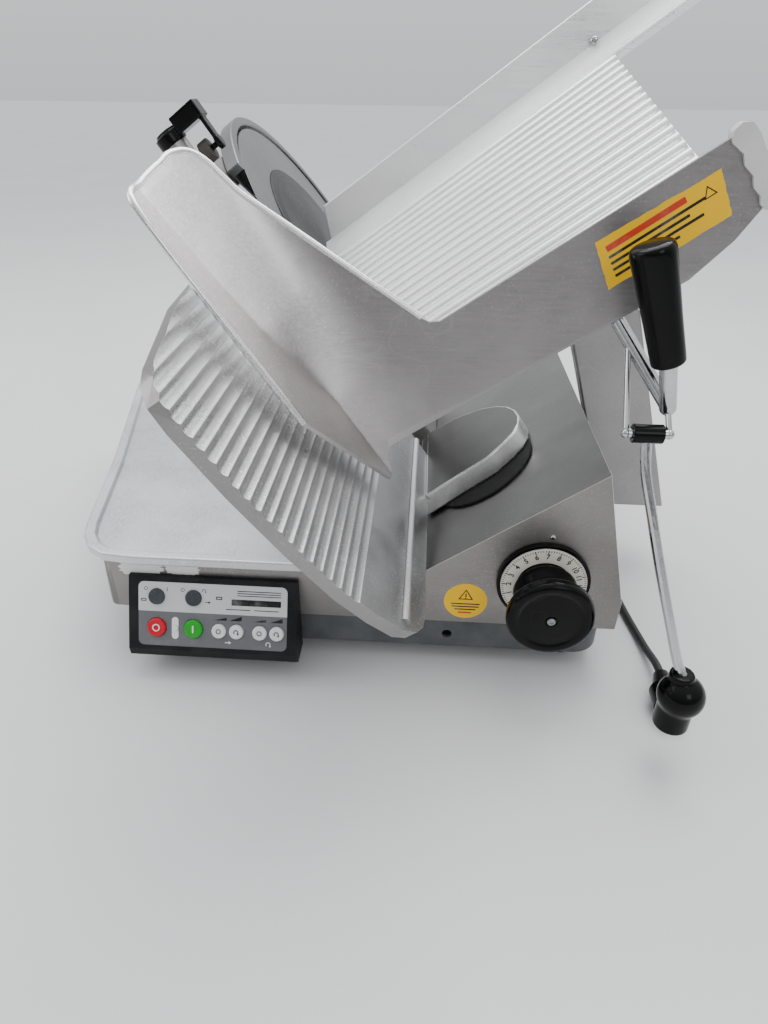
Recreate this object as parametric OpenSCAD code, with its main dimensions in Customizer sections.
// Gravity-feed deli slicer for a counter top.
// X runs to the operator's right, Y away from the operator, Z up. Feet stand on Z = 0.
// The blade, thickness gauge and chute share a tilted frame (u, y, v): u is normal to
// the blade and points up the chute, v climbs the face of the blade.

/* [Base] */
// Width of the front panel
base_w = 540; // [530:5:550]
// Depth of the base
base_d = 490; // [480:5:500]
// Height of the flat deck
deck_z = 122; // [120:1:124]
// Wall thickness of the castings
wall = 5; // [4:1:6]
// Height of the rubber feet
foot_h = 22; // [20:1:24]

/* [Tilt] */
// Tilt of the blade from upright
tilt_deg = 35.3; // [35:0.1:35.6]
// Lean of the chute floor toward the front wall
floor_lean = 15.5; // [15:0.5:16]

/* [Blade] */
// Blade diameter
blade_d = 330; // [324:2:332]
// Opening between blade and gauge at rest
gap_rest = 9.33; // [8.5:0.1:9.6]

/* [Gauge] */
// Thickness of the gauge plate
gauge_t = 12; // [10:1:12]
// Number of flutes on the gauge plate
flutes = 23; // [20:1:23]

/* [Chute] */
// Number of ribs on the chute floor
ribs = 17; // [14:1:17]
// Thickness of the chute walls
sheet = 4; // [3:0.5:4]

/* [Dial] */
// Diameter of the black bezel
bezel_d = 93; // [92:1:96]
// Diameter of the knob
knob_d = 83; // [78:1:84]

/* [Hidden] */
$fn = 96;

// Centre of the footprint, measured from the left front corner of the panel.
centre = [260, 166.5];

gap = 0.3;                      // clearance between pieces that move past each other
nx = cos(tilt_deg);             // the blade normal u
nz = sin(tilt_deg);

// Planes and places in the tilted frame.
gauge_u = 365.6;                // face of the gauge plate
blade_u = gauge_u + gap_rest;   // cutting plane
slope_v = -93;                  // sloped top of the housing
blade_c = [350, 180];           // blade axis (y, v)
blade_r = blade_d / 2;
belt_u = 338;
belt_w = 12;
motor_c = [350, -151];          // motor axis (y, v)
post_c = [427, 136];            // gauge post (u, y)
guide_v = -122;
guide_y = [104, 168];

post_u = 338;                   // sharpener post, which stands up the blade face
post_y = 214;
boss_v = 361;                   // top of the boss that carries it
stone_v = 338;                  // grinding stone
stone_r = 11;

// Chute places in the tilted frame.
wall_y = 15;                    // front face of the chute's front wall
fence_y = 340;
floor_edge = [285, 173];        // last rib of the floor (y, v)
floor_u = 381;                  // lower edge of the floor, clear of the blade cover

// Housing outline.
slope_top = [505, 244];
side_foot = [541, 96];
pan_z = 62;

// Rails under the sloped top.
rail = [480, 175];
guide = [495, 112];
rail_r = 10;
guide_r = 6;
block_y = [205, 285];
stub_z = [158, 180];
arm_x = 532;
arm_y = [230, 262];
travel = 165;

// Dial.
dial = [457.7, 121.5];

// Control box face: middle of the face, and its lean.
box_x = [31, 209];
face_lean = 25;
face_mid = [120, -22, 70.5];
buttons = [                     // place along and up the face, radius
    [-59, -14, 10], [-20, -14, 10], [7, -15, 7.7], [25.5, -15, 7.7], [50, -15, 7.7], [68, -15, 7.7]
];
selectors = [[-59, 19], [-20, 19]];
press = 2.5;

// Handle and pusher.
bush_at = [481, 30, 391];
elbow_at = [531, -24, 322];
grip_low = [521.5, -29.5, 361];
grip_high = [491, -30, 447];
sleeve_at = [514, -40, 305];
ball_at = [574, -105, 78];

// Power cord: a lead down to the coil, the coil, and a run along the right side.
cord_r = 4.25;
gland_at = [470, 74];           // (x, z)
coil_at = [470, 640];
coil_mean = 47;
coil_h = 18;
coil_half = 9.5;
lead_points = [
    [470, 527, 74], [470, 537, 73.6], [469.5, 547, 71], [467, 556, 65], [463, 565, 55.5],
    [457, 573, 43.5], [449.5, 580, 31]
];
run_points = [
    [531, 632, 8.8], [531.5, 620, 7.6], [533, 606, 5.6], [535.5, 588, 4.6], [539, 566, 4.5],
    [545, 530, 4.5], [558, 480, 4.5], [566, 420, 4.5], [571, 350, 4.5], [573, 280, 4.5],
    [575, 220, 4.5], [578, 160, 4.5], [583, 105, 4.5], [589, 60, 5], [592, 30, 8],
    [593, 10, 13], [593, -4, 16], [593, -16, 17]
];
plug_at = [593, -16, 17];

// ---------- helpers ----------

function uv(u, v) = [nx * u - nz * v, nz * u + nx * v];   // (u, v) to (x, z)

module place() { translate([-centre.x, -centre.y, 0]) children(); }
module tilted() { rotate([0, -tilt_deg, 0]) children(); }

// A round bar along Y.
module bar_y(r, y0, y1) { translate([0, y0, 0]) rotate([-90, 0, 0]) cylinder(h = y1 - y0, r = r); }

// A round bar along the blade normal, inside tilted().
module bar_u(r, u0, u1, y, v) {
    translate([u0, y, v]) rotate([0, 90, 0]) cylinder(h = u1 - u0, r = r);
}

// A round bar between two points.
module bar(p, q, r, r2 = undef) {
    d = q - p;
    translate(p)
        rotate([0, acos(d.z / norm(d)), atan2(d.y, d.x)])
            cylinder(h = norm(d), r1 = r, r2 = is_undef(r2) ? r : r2);
}

// Extrudes an outline drawn in (y, v) from u0 to u1, inside tilted().
module slab_u(u0, u1) {
    translate([u0, 0, 0]) rotate([90, 0, 90]) linear_extrude(u1 - u0) children();
}

// Extrudes an outline drawn in (x, z) or (u, v) from y0 to y1.
module slab_y(y0, y1) {
    translate([0, y1, 0]) rotate([90, 0, 0]) linear_extrude(y1 - y0) children();
}

module round_rect(x0, y0, x1, y1, r) {
    translate([x0 + r, y0]) square([x1 - x0 - 2 * r, y1 - y0]);
    translate([x0, y0 + r]) square([x1 - x0, y1 - y0 - 2 * r]);
    for (x = [x0 + r, x1 - r], y = [y0 + r, y1 - r]) translate([x, y]) circle(r);
}

// Ring of points across a cord at point i of a route.
function heading(p, i) =
    let (a = p[max(i - 1, 0)], b = p[min(i + 1, len(p) - 1)]) (b - a) / norm(b - a);
function ring(c, t, r, n) =
    let (s = cross(t, [0, 0, 1]), e = s / norm(s), f = cross(e, t))
    [for (k = [0:n - 1]) c + r * (cos(360 * k / n) * e + sin(360 * k / n) * f)];

// A smooth point between route points b and c.
function blend4(a, b, c, d, t) =
    0.5 * (2 * b + (c - a) * t + (2 * a - 5 * b + 4 * c - d) * t * t
        + (3 * b - a - 3 * c + d) * t * t * t);

// Splits each step of a route into parts.
function smooth(p, parts) = [
    for (i = [0:len(p) - 2], k = [0:parts - 1])
        blend4(p[max(i - 1, 0)], p[i], p[i + 1], p[min(i + 2, len(p) - 1)], k / parts),
    p[len(p) - 1]
];

module tube(route, r, n = 10) {
    m = len(route);
    points = [for (i = [0:m - 1]) each ring(route[i], heading(route, i), r, n)];
    sides = [
        for (i = [0:m - 2], k = [0:n - 1])
            [i * n + k, i * n + (k + 1) % n, (i + 1) * n + (k + 1) % n, (i + 1) * n + k]
    ];
    ends = [[for (k = [n - 1:-1:0]) k], [for (k = [0:n - 1]) (m - 1) * n + k]];
    polyhedron(points, concat(sides, ends), convexity = 6);
}

// ---------- base ----------

module housing_outline(t) {
    // Outline of the housing in (x, z), drawn in by t.
    slope_x = (nx * (deck_z - t) - (slope_v - t)) / nz;
    top_z = ((slope_v - t) + nz * (slope_top.x - t)) / nx;
    polygon([
        [t, pan_z - 1], [t + 4, deck_z - t], [slope_x, deck_z - t],
        [slope_top.x - t, top_z],
        [side_foot.x - t, side_foot.y], [base_w - t, pan_z - 1]
    ]);
}

module base_pan() color([0.25, 0.27, 0.28]) difference() {
    translate([0, 0, foot_h]) linear_extrude(pan_z - foot_h)
        round_rect(8, 6, base_w - 8, base_d - 6, 30);
    translate([0, 0, foot_h + 4]) linear_extrude(pan_z)
        round_rect(12, 10, base_w - 12, base_d - 10, 26);
    translate([366, 0, 39]) bar_y(5.4, -1, 20);
}

module housing() color([0.78, 0.79, 0.8]) difference() {
    intersection() {
        slab_y(0, base_d) housing_outline(0);
        translate([0, 0, pan_z]) linear_extrude(300) round_rect(-1, 0, 560, base_d, 12);
    }
    slab_y(wall, base_d - wall) housing_outline(wall);
    // knob shaft
    translate([dial.x, 0, dial.y]) bar_y(11, -1, wall + 1);
    // slot for the carriage stub
    translate([500, block_y.x - travel + 8, stub_z.x - 6])
        cube([60, 2 * travel + 64, stub_z.y - stub_z.x + 12]);
    tilted() {
        // slot for the gauge post
        translate([post_c.x - 34, post_c.y - 13, slope_v - 30]) cube([60, 26, 40]);
        // opening for the belt
        translate([belt_u - 5, blade_c.x - 52, -130]) cube([belt_w + 10, 104, 60]);
    }
    // cord gland
    translate([gland_at.x, 0, gland_at.y]) bar_y(10, base_d - 20, base_d + 1);
}

module feet() color([0.1, 0.1, 0.1])
    for (x = [45, base_w - 45], y = [45, base_d - 45])
        translate([x, y, 0]) cylinder(h = foot_h, r1 = 17, r2 = 20);

rim_w = 12;
tray_outline = [
    [300, -8], [40, -8], [6, -4], [-12, 8], [-26, 28], [-33, 50],
    [-62, 196], [-124, 450], [-128, 478], [-120, 490], [-104, 496], [300, 496]
];

module slice_tray() color([0.8, 0.81, 0.82]) union() {
    translate([0, 0, deck_z]) linear_extrude(4) polygon(tray_outline);
    translate([0, 0, deck_z + 4]) linear_extrude(7) difference() {
        polygon(tray_outline);
        offset(delta = -rim_w) polygon(tray_outline);
        translate([300 - 2 * rim_w, rim_w - 8]) square([3 * rim_w, 504 - 2 * rim_w]);
    }
}

// ---------- control box ----------

module on_face() {
    translate(face_mid) rotate([90 - face_lean, 0, 0]) children();
}

module control_box() color([0.2, 0.22, 0.23]) difference() {
    translate([box_x.x, 0, 0]) rotate([90, 0, 90]) linear_extrude(box_x.y - box_x.x)
        polygon([[0, 107], [-5, 107], [-38, 36], [-37, 27], [-30, 20], [0, 20]]);
    translate([box_x.x + 4, 0, 0]) rotate([90, 0, 90]) linear_extrude(box_x.y - box_x.x - 8)
        polygon([[1, 99], [-4, 99], [-32, 36], [-32, 29], [-28, 25], [1, 25]]);
    on_face() {
        for (b = buttons) translate([b.x, b.y, -8]) cylinder(h = 16, r = b.z + gap);
        for (s = selectors) translate([s.x, s.y, -8]) cylinder(h = 16, r = 8.4 + gap);
        translate([-39.5, -14, -8]) cylinder(h = 16, r = 3.6);
    }
}

module indicator_lamp() color([0.95, 0.95, 0.9]) on_face() {
    translate([-39.5, -14, -6]) cylinder(h = 7.5, r = 3.2);
    translate([-39.5, -14, -8]) cylinder(h = 2, r = 5);
}

module button(i, shade) color(shade) on_face() translate([buttons[i].x, buttons[i].y, 0]) {
    translate([0, 0, -6]) cylinder(h = 9, r = buttons[i].z);
    translate([0, 0, -9]) cylinder(h = 3, r = 4);
}

module selector(i) color([0.25, 0.27, 0.28]) on_face()
    translate([selectors[i].x, selectors[i].y, 0]) {
        translate([0, 0, -6]) cylinder(h = 8.5, r = 8.4);
        translate([0, 4.6, 2.5]) cylinder(h = 1, r = 2.4, $fn = 3);
    }

// ---------- dial and knob ----------

module at_dial() { translate([dial.x, 0, dial.y]) children(); }

module dial_bezel() color([0.08, 0.08, 0.08]) at_dial() difference() {
    bar_y(bezel_d / 2, -7, 0);
    bar_y(bezel_d / 2 - 3.5, -8, -3);
    bar_y(11, -8, 1);
}

module knob_bush() color([0.7, 0.6, 0.35]) at_dial() difference() {
    union() {
        bar_y(10.9, -2.6, wall + 8);
        bar_y(17, wall, wall + 8);
    }
    bar_y(6.05, -10, 30);
}

module dial_ring() color([0.93, 0.92, 0.85]) at_dial() difference() {
    bar_y(42.6, -8.5, -3.4);
    bar_y(27, -10, -2);
}

module thickness_knob() color([0.05, 0.05, 0.05]) at_dial() difference() {
    union() {
        bar_y(26.9, -18, -3.4);
        translate([0, -18, 0]) rotate([90, 0, 0]) cylinder(h = 30, r1 = 32, r2 = 29);
        translate([0, -48, 0]) rotate([90, 0, 0]) cylinder(h = 4, r1 = knob_d / 2 - 4, r2 = knob_d / 2);
        bar_y(knob_d / 2, -59, -52);
        translate([0, -59, 0]) rotate([90, 0, 0]) cylinder(h = 5, r1 = knob_d / 2, r2 = knob_d / 2 - 7);
    }
    bar_y(6, -56, 0);
    bar_y(3, -65, -50);
}

module knob_screw() color([0.7, 0.7, 0.72]) at_dial() {
    bar_y(5, -66, -64);
    bar_y(2.9, -64, -56.1);
}

module knob_shaft() color([0.7, 0.7, 0.72]) at_dial() {
    bar_y(6, -56, 40);
    translate([6, 0, 0]) bar_y(16, 24, 36);
}

// ---------- drive ----------

module motor() color([0.45, 0.46, 0.48]) tilted() {
    bar_u(46, 358, 442, motor_c.x, motor_c.y);
    bar_u(20, 442, 446, motor_c.x, motor_c.y);
}

module motor_bracket() color([0.4, 0.41, 0.43]) tilted() difference() {
    slab_u(352, 358) {
        translate(motor_c) circle(46);
        translate([motor_c.x - 46, motor_c.y]) square([92, slope_v - wall - motor_c.y]);
    }
    bar_u(12, 350, 360, motor_c.x, motor_c.y);
}

module motor_shaft() color([0.7, 0.7, 0.72]) tilted()
    bar_u(8, belt_u - 2, 357.9, motor_c.x, motor_c.y);

module grooved(r, w) {
    // Pulley rim with vee grooves, about its own axis.
    difference() {
        cylinder(h = w, r = r);
        for (k = [1:4]) translate([0, 0, k * w / 5 - 0.8])
            difference() { cylinder(h = 1.6, r = r + 1); cylinder(h = 1.6, r = r - 1.5); }
    }
}

module motor_pulley() color([0.6, 0.61, 0.62]) tilted() difference() {
    translate([belt_u, motor_c.x, motor_c.y]) rotate([0, 90, 0]) grooved(26, belt_w);
    bar_u(8, belt_u - 5, 360, motor_c.x, motor_c.y);
}

module blade_pulley() color([0.6, 0.61, 0.62]) tilted() difference() {
    translate([belt_u, blade_c.x, blade_c.y]) rotate([0, 90, 0]) grooved(46, belt_w);
    bar_u(12, belt_u - 5, 360, blade_c.x, blade_c.y);
}

module belt_outline(grow) {
    // Flanks of a belt about the blade pulley and the motor pulley.
    r1 = 46 + grow;
    r2 = 26 + grow;
    d = blade_c.y - motor_c.y;
    a = asin((r1 - r2) / d);
    polygon(concat(
        [for (k = [-a:(180 + 2 * a) / 40:180 + a + 0.01]) blade_c + r1 * [cos(k), sin(k)]],
        [for (k = [180 + a:(180 - 2 * a) / 30:360 - a + 0.01]) motor_c + r2 * [cos(k), sin(k)]]
    ));
}

module drive_belt() color([0.1, 0.1, 0.1]) tilted() slab_u(belt_u + 0.5, belt_u + belt_w - 0.5)
    difference() {
        belt_outline(gap + 3);
        belt_outline(gap);
    }

// ---------- tower, blade and guard ----------

cover_u = 318;                  // back of the tower cover
deflector_u = 306;

module tower_outline(t) {
    translate(blade_c) circle(78 - t);
    translate([blade_c.x - 66 + t, -130]) square([132 - 2 * t, 130 + blade_c.y]);
}

module above_deck() {
    // Keeps what stands clear of the housing.
    difference() {
        children();
        translate([0, 0, deck_z - 300]) cube([700, 700, 300]);
        tilted() translate([0, 0, slope_v - 300]) cube([900, 700, 300]);
    }
}

module blade_tower() color([0.76, 0.77, 0.78]) above_deck() tilted() difference() {
    slab_u(cover_u + 4, 364) tower_outline(0);
    slab_u(321, 354) tower_outline(7);
    bar_u(21, 350, 370, blade_c.x, blade_c.y);
}

module tower_cover() color([0.7, 0.71, 0.72]) above_deck() tilted()
    slab_u(cover_u, cover_u + 4) tower_outline(0);

module blade_bearings() color([0.65, 0.66, 0.68]) tilted() difference() {
    bar_u(20.95, 354.2, 363.8, blade_c.x, blade_c.y);
    bar_u(12.05, 350, 370, blade_c.x, blade_c.y);
}

module blade_shaft() color([0.7, 0.7, 0.72]) tilted() {
    bar_u(12, belt_u - 4, 365.5, blade_c.x, blade_c.y);
    bar_u(40, 365.5, 370, blade_c.x, blade_c.y);
}

module blade() color([0.62, 0.63, 0.65]) tilted()
    translate([370, blade_c.x, blade_c.y]) rotate([0, 90, 0]) difference() {
        union() {
            cylinder(h = 2.2, r = blade_r - 12);
            translate([0, 0, 2.2]) cylinder(h = blade_u - 372.4, r1 = blade_r - 12, r2 = blade_r);
            translate([0, 0, blade_u - 370.2]) cylinder(h = 0.2, r = blade_r);
        }
        translate([0, 0, 3]) cylinder(h = 9, r = 112);
        for (k = [0:2]) rotate(120 * k) translate([28, 0, -1]) cylinder(h = 9, r = 3);
    }

module blade_cover() color([0.55, 0.56, 0.58]) tilted()
    translate([373, blade_c.x, blade_c.y]) rotate([0, 90, 0]) union() {
        cylinder(h = 3, r = 111.6);
        translate([0, 0, 3]) cylinder(h = 1.6, r1 = 106, r2 = 100);
    }

ring_in = blade_r + 3.5;
ring_out = blade_r + 14;

module sector(r, a0, a1) {
    polygon(concat([[0, 0]], [for (k = [0:24]) r * [cos(a0 + (a1 - a0) * k / 24), sin(a0 + (a1 - a0) * k / 24)]]));
}

module guard_ring() color([0.8, 0.81, 0.82]) tilted() union() {
    slab_u(364, 377) translate(blade_c) intersection() {
        difference() {
            circle(ring_out);
            circle(ring_in);
        }
        sector(260, -70, 132);
    }
    slab_u(360, 364) translate(blade_c) intersection() {
        difference() {
            circle(ring_out);
            translate(-blade_c) tower_outline(-gap);
        }
        union() {
            sector(260, -70, -40);
            sector(260, 5, 35);
            sector(260, 95, 132);
            intersection() {
                difference() {
                    circle(ring_out);
                    circle(blade_r - 10);
                }
                sector(260, -70, 132);
            }
        }
    }
}

module slice_deflector() color([0.8, 0.81, 0.82]) tilted() union() {
    slab_u(deflector_u, deflector_u + 3) {
        translate([222, 60]) square([190, 190]);
        translate([222, 155]) circle(20);
    }
    // standoffs to the tower cover
    for (y = [310, 390]) bar_u(6, deflector_u + 3, cover_u, y, 170);
}

// A round bar up the blade face, inside tilted(), at the sharpener's post.
module bar_v(r, v0, v1) { translate([post_u, post_y, v0]) cylinder(h = v1 - v0, r = r); }

module sharpener_mount() color([0.82, 0.83, 0.84]) tilted() difference() {
    union() {
        bar_v(13.5, 298, boss_v);
        slab_u(post_u + 8, 360) polygon([[204, 298], [204, 319], [228, 319], [250, 331], [268, 316], [268, 298]]);
    }
    bar_v(6.05, 305, 400);
}

module sharpener_head() color([0.07, 0.07, 0.08]) tilted() union() {
    bar_v(6, 310, boss_v + 4);
    bar_v(15, boss_v + gap, boss_v + 12);
    bar_v(12, boss_v + 11.9, boss_v + 15);
    translate([post_u + 13, post_y - 11, boss_v + 3]) cube([31, 22, 17]);
    translate([post_u + 38, post_y - 7, stone_v]) cube([4, 14, boss_v + 4 - stone_v]);
    bar_u(3, post_u + 17, post_u + 39, post_y, stone_v);
    bar_u(7, post_u + 37, post_u + 43, post_y, stone_v);
}

module sharpener_wheels() color([0.35, 0.33, 0.3]) tilted() difference() {
    bar_u(stone_r, post_u + 19, post_u + 30, post_y, stone_v);
    bar_u(3.05, post_u + 10, post_u + 40, post_y, stone_v);
}

// ---------- gauge ----------

module gauge_outline() {
    difference() {
        polygon([
            [-104, -71.4], [-120, -69], [-134, -60], [-150, -42], [-166, -8], [-179, 30],
            [-189, 84], [-195, 141], [-196, 196], [-193, 214], [-182, 226], [-166, 232], [-82, 249], [200, 268], [200, -71.4]
        ]);
        translate(blade_c) circle(blade_r + 3);
    }
}

flute_pitch = 10.7;
flute_v = 19.4;                 // middle of the lowest flute
flute_r = 7.85;
flute_depth = 1.8;

module gauge_plate() color([0.8, 0.81, 0.82]) tilted() union() {
    difference() {
        slab_u(gauge_u - gauge_t, gauge_u) gauge_outline();
        for (k = [0:flutes - 1])
            translate([gauge_u + flute_r - flute_depth, 0, flute_v + k * flute_pitch])
                bar_y(flute_r, -260, 260);
    }
    translate([gauge_u, 0, -42]) intersection() {
        bar_y(4.5, -140, 194);
        translate([0, -300, -20]) cube([20, 600, 40]);
    }
}

module arm_outline() {
    polygon([
        [353, 96], [405, 103], [444, 107], [466, 119], [480, 131], [488, 146], [490, 164],
        [487, 184], [479, 204], [466, 222], [446, 240], [410, 256], [353, 262]
    ]);
}

module gauge_arm() color([0.8, 0.81, 0.82]) tilted() difference() {
    translate([0, 0, slope_v + 3.5]) linear_extrude(23) intersection() {
        arm_outline();
        translate([gauge_u - gauge_t, 0]) square([200, 400]);
    }
    // sits behind the lower edge of the gauge plate
    translate([gauge_u - 20, 0, -71.4]) cube([20, 400, 20]);
}

module arm_seal() color([0.06, 0.06, 0.06]) tilted()
    translate([post_c.x, post_c.y, slope_v + gap]) difference() {
        cylinder(h = 3.1, r = 61);
        cylinder(h = 8, r = 10.3, center = true);
    }

module gauge_slide() color([0.55, 0.56, 0.58]) tilted() difference() {
    union() {
        translate([post_c.x, post_c.y, guide_v]) cylinder(h = slope_v + 3.4 - guide_v, r = 10);
        translate([399, guide_y.x - 14, guide_v - 13])
            cube([40, guide_y.y - guide_y.x + 28, 24]);
    }
    for (y = guide_y) bar_u(7.05, 380, 480, y, guide_v);
}

module gauge_guides() color([0.7, 0.7, 0.72]) tilted()
    for (y = guide_y) {
        bar_u(7, 372, 457, y, guide_v);
        for (u = [372, 451]) translate([u, y - 10, guide_v - 10])
            cube([6, 20, slope_v - wall - guide_v + 10]);
    }

// ---------- carriage ----------

module carriage_rails() color([0.72, 0.73, 0.75]) {
    translate([rail.x, 0, rail.y]) bar_y(rail_r, wall, base_d - wall);
    translate([guide.x, 0, guide.y]) bar_y(guide_r, wall, base_d - wall);
}

module rail_supports() color([0.5, 0.51, 0.53])
    for (y = [wall, base_d - wall - 14]) difference() {
        union() {
            translate([rail.x - 16, y, rail.y - 18]) cube([32, 14, 34]);
            translate([guide.x - 14, y, guide.y - 14]) cube([28, 14, 32]);
        }
        translate([rail.x, 0, rail.y]) bar_y(rail_r, 0, base_d);
        translate([guide.x, 0, guide.y]) bar_y(guide_r, 0, base_d);
    }

module slide_block() color([0.5, 0.51, 0.53]) difference() {
    union() {
        translate([456, block_y.x, 155]) cube([49, block_y.y - block_y.x, 41]);
        translate([505, arm_y.x - 4, stub_z.x]) cube([arm_x - 505, 40, stub_z.y - stub_z.x]);
        translate([484, block_y.x + 20, 100]) cube([22, 40, 55]);
    }
    translate([rail.x, 0, rail.y]) bar_y(rail_r + 0.05, 0, base_d);
    translate([guide.x - guide_r - gap, 0, 90]) cube([2 * guide_r + 2 * gap, base_d, 30]);
}

floor_t = 6;                    // thickness of the chute floor
arm_left = 578;                 // edges of the upright web, along the chute
arm_right = 655;
arm_top = 175;

module on_floor() {
    translate([0, floor_edge.x, floor_edge.y]) rotate([floor_lean, 0, 0]) children();
}

module carriage_arm() color([0.62, 0.6, 0.6]) difference() {
    slab_y(arm_y.x, arm_y.y) polygon([
        uv(arm_left, arm_top), uv(arm_right, arm_top), uv(arm_right, -60),
        [602, 226], [648, 78], [562, 78], [549, 96], [arm_x, 150], [arm_x, 190],
        [514, 247], uv(arm_left, -44)
    ]);
    // cut to the underside of the chute floor
    tilted() on_floor() translate([300, -400, -floor_t]) cube([600, 800, 200]);
}

floor_w = (floor_edge.x - wall_y) / cos(floor_lean) + 10;
strip_w = (fence_y - floor_edge.x) / cos(floor_lean) + 6;
rib_pitch = (floor_edge.x - wall_y - 6) / cos(floor_lean) / ribs;

module chute_floor() color([0.82, 0.83, 0.84]) tilted() intersection() {
    on_floor() {
        translate([0, 0, -floor_t]) linear_extrude(floor_t - 1)
            polygon([[floor_u, -floor_w], [floor_u, strip_w], [842, strip_w], [842, 0], [745, 0],
                [720, -floor_w]]);
        translate([0, 0, -floor_t]) linear_extrude(floor_t + 2)
            polygon([[floor_u, 2], [floor_u, strip_w], [842, strip_w], [842, 2]]);
        for (k = [0:ribs - 1]) translate([0, -(k + 0.5) * rib_pitch, -1])
            rotate([0, 90, 0]) translate([0, 0, floor_u]) difference() {
                cylinder(h = 745 - floor_u - 25 * (k + 0.5) / ribs, r = rib_pitch * 0.3);
                translate([0, -20, -1]) cube([20, 40, 500]);
            }
    }
    translate([300, wall_y + sheet, -200]) cube([700, fence_y - wall_y - sheet, 700]);
}

fence_foot = floor_edge.y + (fence_y - floor_edge.x) * tan(floor_lean) - 6;

module chute_fence() color([0.82, 0.83, 0.84]) tilted() slab_y(fence_y, fence_y + sheet)
    polygon([[floor_u + 3, fence_foot], [floor_u + 22, 226], [842, 226], [842, fence_foot]]);

module chute_wall() color([0.7, 0.69, 0.69]) difference() {
    wall_sheets();
    bar(bush_at, elbow_at, 6.3);    // notch for the handle rod
}

module wall_sheets() tilted() {
    slab_y(wall_y, wall_y + sheet) polygon([
        [377, 14], [377, 322], [388, 329], [401, 330], [484, 120], [488, 113], [496, 109],
        [752, 106], [756, 102], [753, 61], [747, 49], [719, 37], [679, 28], [627, 29],
        [407, 38], [392, 26]
    ]);
    slab_u(377, 377 + sheet) polygon([
        [wall_y + 0.1, 14], [2, 13], [-78, 123], [-78, 187], [-73, 308], [-62, 319], [wall_y + 0.1, 322]
    ]);
    slab_u(375.6, 384) polygon([[-76, 125], [-81, 125], [-79, 187], [-74, 309], [-70, 317],
        [-60, 322], [wall_y, 324], [wall_y, 319], [-60, 317], [-69, 306], [-74, 187]]);
}

module handle_bush() color([0.06, 0.06, 0.06]) difference() {
    bar(bush_at - 0.36 * (elbow_at - bush_at), bush_at + 0.1 * (elbow_at - bush_at), 11);
    tilted() translate([500, -200, -100]) cube([300, 200 + wall_y + sheet, 300]);
}

rod_r = 6;
stub_r = 7;                     // upright part of the rod, under the grip
stub_end = grip_low + 0.3 * (grip_low - elbow_at);
grip_r = 17;
leg_x = 17.5;                   // stirrup leg, from the middle of the sleeve

module handle_rod() color([0.75, 0.75, 0.77]) union() {
    bar(bush_at + 0.1 * (elbow_at - bush_at), elbow_at, rod_r);
    translate(elbow_at) sphere(stub_r);
    bar(elbow_at, stub_end, stub_r);
    bar(bush_at + 0.35 * (elbow_at - bush_at), sleeve_at - [leg_x, 0, 0], 2.5);
    bar(elbow_at, sleeve_at + [leg_x, 0, 0], 2.5);
    for (s = [-1, 1]) translate(sleeve_at + [s * leg_x, 0, 0]) sphere(4.2);
    translate(sleeve_at) rotate([0, 90, 0]) cylinder(h = 2 * leg_x, r = 3.95, center = true);
}

module handle_grip() color([0.05, 0.05, 0.05]) difference() {
    union() {
        bar(grip_low, grip_high, 13.5, grip_r);
        bar(grip_high - 0.02 * (grip_high - grip_low), grip_high + 0.045 * (grip_high - grip_low),
            grip_r - 0.5, grip_r - 4);
    }
    bar(elbow_at, stub_end + 0.02 * (grip_low - elbow_at), stub_r + 0.05);
}

module pusher_sleeve() color([0.05, 0.05, 0.05]) translate(sleeve_at) rotate([0, 90, 0]) difference() {
    cylinder(h = 25, r = 8, center = true);
    cylinder(h = 30, r = 4, center = true);
}

// ---------- pusher ----------

pusher_points = [
    sleeve_at + [0, -1.5, -6], [517, -48, 274], [526, -60, 240], [536, -70, 205],
    [546, -80, 172], [556, -90, 140], [565, -98, 112], ball_at + [-3, 3, 22]
];

module pusher_rod() color([0.75, 0.75, 0.77]) tube(smooth(pusher_points, 3), 4.5, 12);

module ball_knob() color([0.05, 0.05, 0.05]) union() {
    translate(ball_at) sphere(21);
    translate(ball_at + [-3, 3, 0]) cylinder(h = 24, r = 11);
    // foot that the arm rests on
    translate(ball_at + [-2, 0, -37]) cylinder(h = 30, r = 16);
}

// ---------- cord ----------

module cord_gland() color([0.07, 0.07, 0.07]) translate([gland_at.x, 0, gland_at.y]) difference() {
    union() {
        bar_y(9.9, base_d - 12, base_d);
        bar_y(14, base_d, base_d + 4);
        translate([0, base_d + 4, 0]) rotate([-90, 0, 0]) cylinder(h = 33, r1 = 11, r2 = 7);
    }
    bar_y(cord_r, base_d + 36.9, base_d + 60);
}

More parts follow.
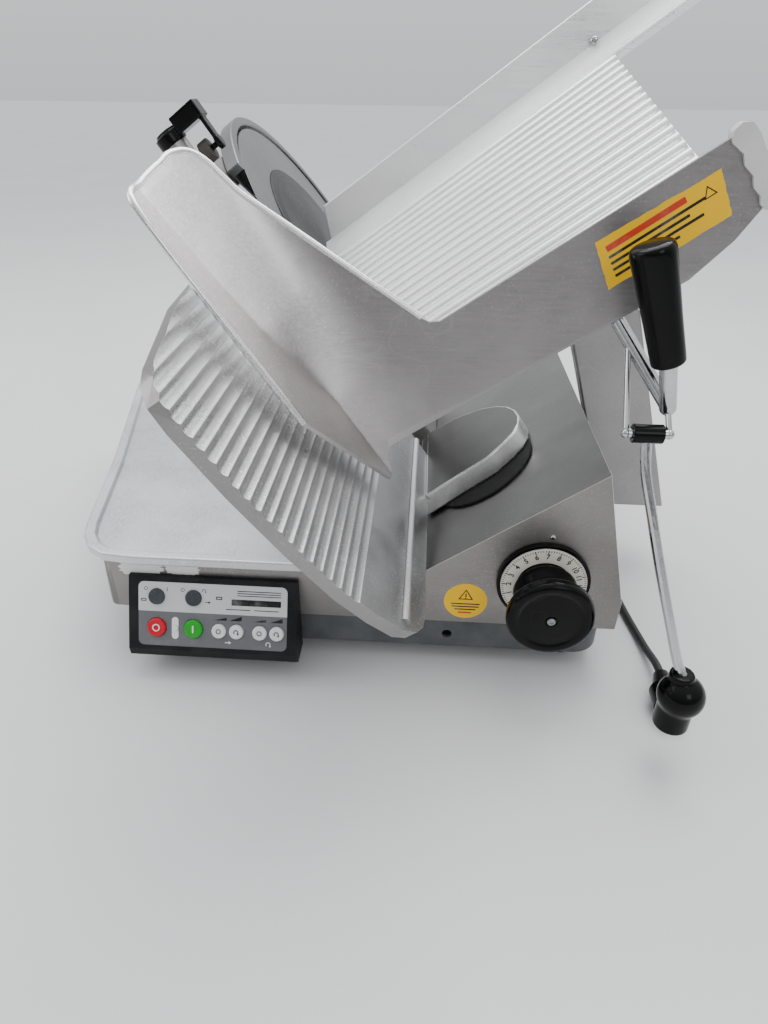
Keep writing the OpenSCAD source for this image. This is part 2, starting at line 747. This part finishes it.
module cord_lead() color([0.06, 0.06, 0.06]) tube(smooth(lead_points, 2), cord_r);
module cord_run() color([0.06, 0.06, 0.06]) tube(smooth(run_points, 2), cord_r);

module cord_coil() color([0.06, 0.06, 0.06]) translate([coil_at.x, coil_at.y, 0])
    rotate_extrude() translate([coil_mean - coil_half, 0]) square([2 * coil_half, coil_h]);

module plug() color([0.07, 0.07, 0.07]) {
    bar(plug_at, plug_at + [-1, -22, 0], 8, 14);
    bar(plug_at + [-1, -22, 0], plug_at + [-2, -46, 0], 16.8);
    for (s = [-7, 7]) bar(plug_at + [-2 + s, -46, 0], plug_at + [-2.6 + s, -62, 0], 2.4);
}

place() base_pan();
place() housing();
place() slice_tray();
place() feet();
place() control_box();
place() indicator_lamp();
place() dial_bezel();
place() knob_bush();
place() motor();
place() motor_bracket();
place() drive_belt();
place() blade_tower();
place() tower_cover();
place() blade_bearings();
place() guard_ring();
place() slice_deflector();
place() carriage_rails();
place() rail_supports();
place() gauge_guides();
place() sharpener_mount();
place() cord_gland();
place() cord_lead();
place() cord_coil();
place() cord_run();
place() plug();
place() blade();
place() blade_cover();
place() blade_shaft();
place() blade_pulley();
place() motor_shaft();
place() motor_pulley();
place() gauge_plate();
place() gauge_arm();
place() arm_seal();
place() gauge_slide();
place() thickness_knob();
place() dial_ring();
place() knob_screw();
place() knob_shaft();
place() slide_block();
place() carriage_arm();
place() chute_floor();
place() chute_wall();
place() chute_fence();
place() handle_bush();
place() handle_rod();
place() handle_grip();
place() pusher_sleeve();
place() pusher_rod();
place() ball_knob();
place() button(0, [0.8, 0.05, 0.15]);  // stop_button
place() button(1, [0.1, 0.55, 0.1]);  // start_button
place() button(2, [0.9, 0.9, 0.9]);  // stroke_less
place() button(3, [0.9, 0.9, 0.9]);  // stroke_more
place() button(4, [0.85, 0.9, 0.9]);  // speed_less
place() button(5, [0.9, 0.9, 0.9]);  // speed_more
place() selector(0);  // blade_selector
place() selector(1);  // carriage_selector
place() sharpener_head();
place() sharpener_wheels();
